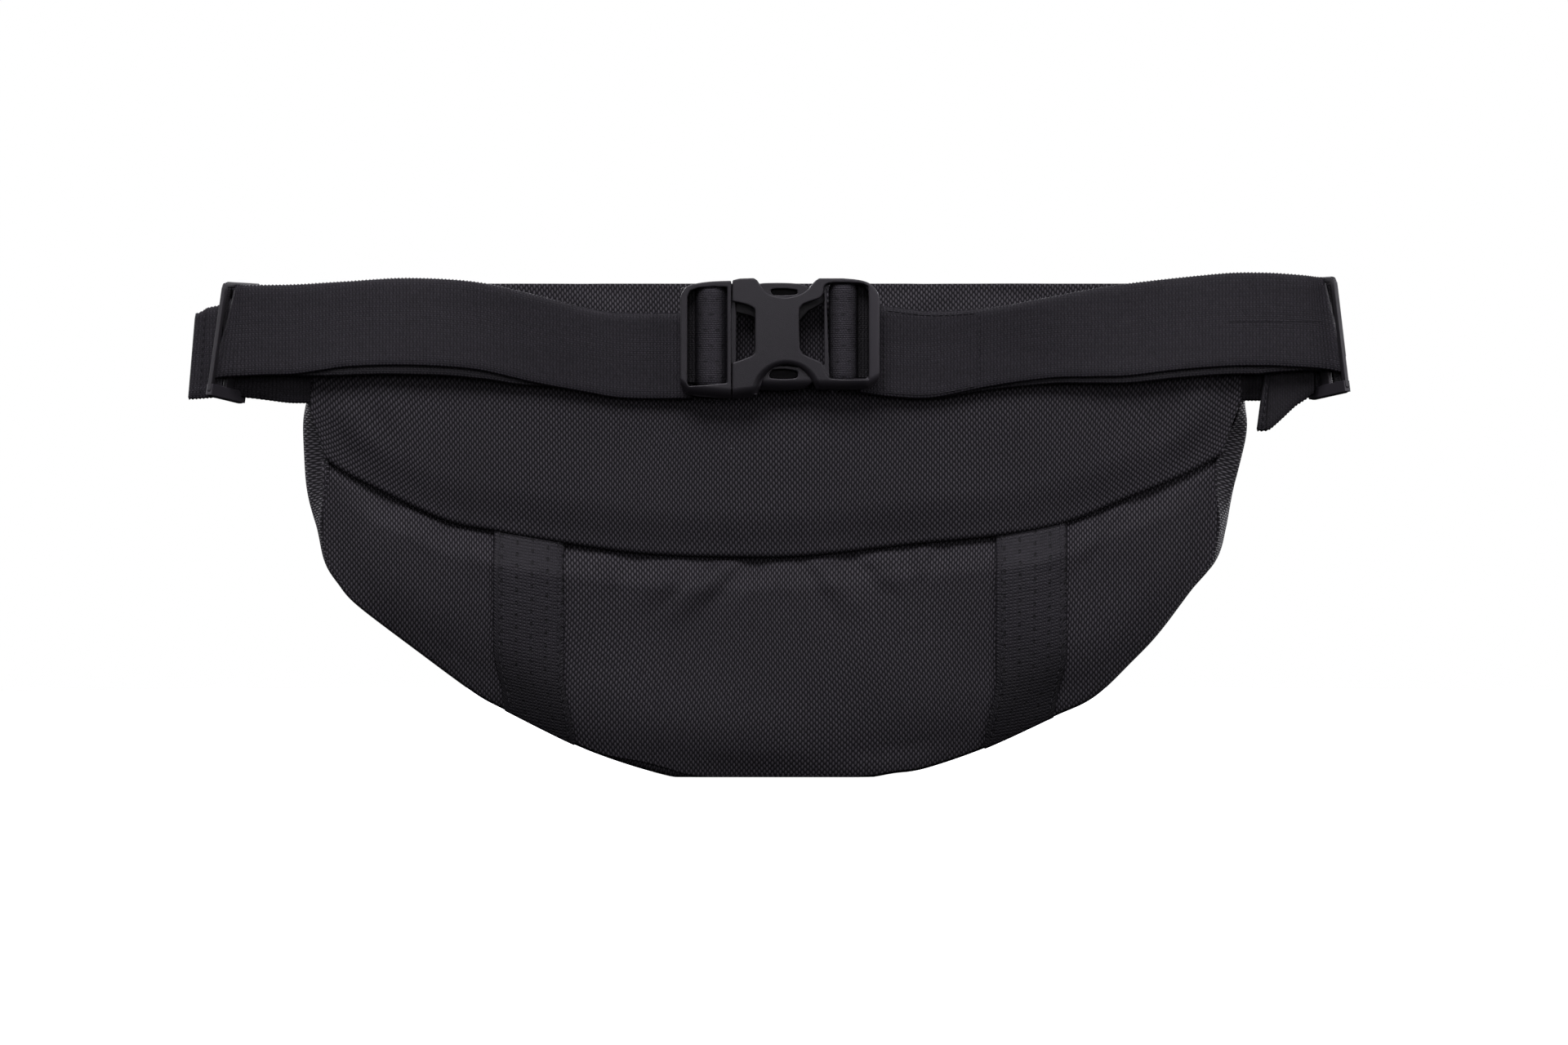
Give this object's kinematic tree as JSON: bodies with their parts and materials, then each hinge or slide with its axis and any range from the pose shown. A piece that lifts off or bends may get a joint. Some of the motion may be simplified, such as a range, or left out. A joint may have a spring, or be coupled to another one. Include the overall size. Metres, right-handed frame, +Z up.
{
  "type": "waist pack",
  "caption": "Half-moon waist pack with a padded back panel, zipped front, and a webbing belt closed by a side-release buckle in front of the back panel",
  "frame": {"origin": "on the surface the pack stands on, under the middle of its overall box", "axes": "+X along the belt, to the right as the back panel is seen; +Y from the wearer's side to the front; +Z up"},
  "size_m": [0.4814, 0.0998, 0.2098],
  "materials": {
    "pack_fabric": "black ballistic nylon, coarse basket weave with a 2.1 mm repeat, faint sheen",
    "foam": "closed-cell foam pad, hidden",
    "lining": "thin plain-weave polyester",
    "webbing": "black 38 mm polyester webbing, fine cross ribs, soft sheen",
    "buckle_plastic": "moulded black acetal, fine spark-eroded grain, polished rims",
    "zip_tape": "woven polyester zip tape",
    "zip_coil": "nylon coil",
    "zip_metal": "die-cast zinc, black coated"
  },
  "bodies": {
    "bag": {"back_panel_upper": "pack_fabric", "back_panel_lower": "pack_fabric", "back_foam_pad": "foam", "gusset": "pack_fabric", "top_gusset": "pack_fabric", "front_panel": "pack_fabric", "front_pocket_panel": "pack_fabric", "main_lining": "lining", "binding_back": "lining", "binding_front": "lining", "web_band_left": "webbing", "web_band_right": "webbing", "side_anchor_left": "webbing", "side_anchor_right": "webbing", "main_zip_tape_upper": "zip_tape", "main_zip_tape_lower": "zip_tape", "main_zip_coil_upper": "zip_coil", "main_zip_coil_lower": "zip_coil", "main_zip_stop_left": "zip_metal", "main_zip_stop_right": "zip_metal", "pocket_zip_tape_upper": "zip_tape", "pocket_zip_tape_lower": "zip_tape", "pocket_zip_coil_upper": "zip_coil", "pocket_zip_coil_lower": "zip_coil", "pocket_zip_stop_left": "zip_metal", "pocket_zip_stop_right": "zip_metal"},
    "belt": {"left_strand_outer": "webbing", "left_strand_inner": "webbing", "right_strand_outer": "webbing", "right_strand_inner": "webbing", "right_web_loop": "webbing", "buckle_female": "buckle_plastic"},
    "left_triglide": {"left_triglide": "buckle_plastic"},
    "right_triglide": {"right_triglide": "buckle_plastic", "right_tail": "webbing"},
    "buckle_male": {"buckle_male": "buckle_plastic", "left_web_loop": "webbing"},
    "prong_upper": {"prong_upper": "buckle_plastic"},
    "prong_lower": {"prong_lower": "buckle_plastic"},
    "main_zip_slider": {"main_zip_slider": "zip_metal"},
    "main_zip_pull": {"main_zip_pull": "zip_metal"},
    "pocket_zip_slider": {"pocket_zip_slider": "zip_metal"},
    "pocket_zip_pull": {"pocket_zip_pull": "zip_metal"}
  },
  "joints": [
    {"name": "belt_swing", "type": "hinge", "parent": "bag", "child": "belt", "pos_m": [0, -0.0285, 0.2], "axis": [-1, 0, 0], "range_deg": [0, 85]},
    {"name": "buckle_release", "type": "slide", "parent": "belt", "child": "buckle_male", "axis": [-1, 0, 0], "range_m": [0, 0.034], "deforming": ["prong_upper", "prong_lower"]},
    {"name": "prong_upper_flex", "type": "hinge", "parent": "buckle_male", "child": "prong_upper", "pos_m": [-0.0157, -0.044, 0.2002], "axis": [0, 1, 0], "range_deg": [0, 7], "stiffness_Nm_per_rad": 0.3},
    {"name": "prong_lower_flex", "type": "hinge", "parent": "buckle_male", "child": "prong_lower", "pos_m": [-0.0157, -0.044, 0.1652], "axis": [0, 1, 0], "range_deg": [-7, 0], "stiffness_Nm_per_rad": 0.3},
    {"name": "left_triglide_slide", "type": "slide", "parent": "belt", "child": "left_triglide", "axis": [1, 0, 0], "range_m": [0, 0.009]},
    {"name": "right_triglide_slide", "type": "slide", "parent": "belt", "child": "right_triglide", "axis": [-1, 0, 0], "range_m": [0, 0.009]},
    {"name": "main_zip_run", "type": "slide", "parent": "bag", "child": "main_zip_slider", "axis": [-1, 0, 0], "range_m": [0, 0.3]},
    {"name": "main_zip_pull_swing", "type": "hinge", "parent": "main_zip_slider", "child": "main_zip_pull", "pos_m": [0.15, 0.02352, 0.1881], "axis": [1, 0, 0], "range_deg": [0, 130]},
    {"name": "pocket_zip_run", "type": "slide", "parent": "bag", "child": "pocket_zip_slider", "axis": [-1, 0, 0], "range_m": [0, 0.192]},
    {"name": "pocket_zip_pull_swing", "type": "hinge", "parent": "pocket_zip_slider", "child": "pocket_zip_pull", "pos_m": [0.096, 0.04237, 0.13437], "axis": [1, 0, 0], "range_deg": [0, 130]}
  ],
  "couplings": [
    {"joint": "prong_lower_flex", "follows": "prong_upper_flex", "ratio": -1}
  ]
}
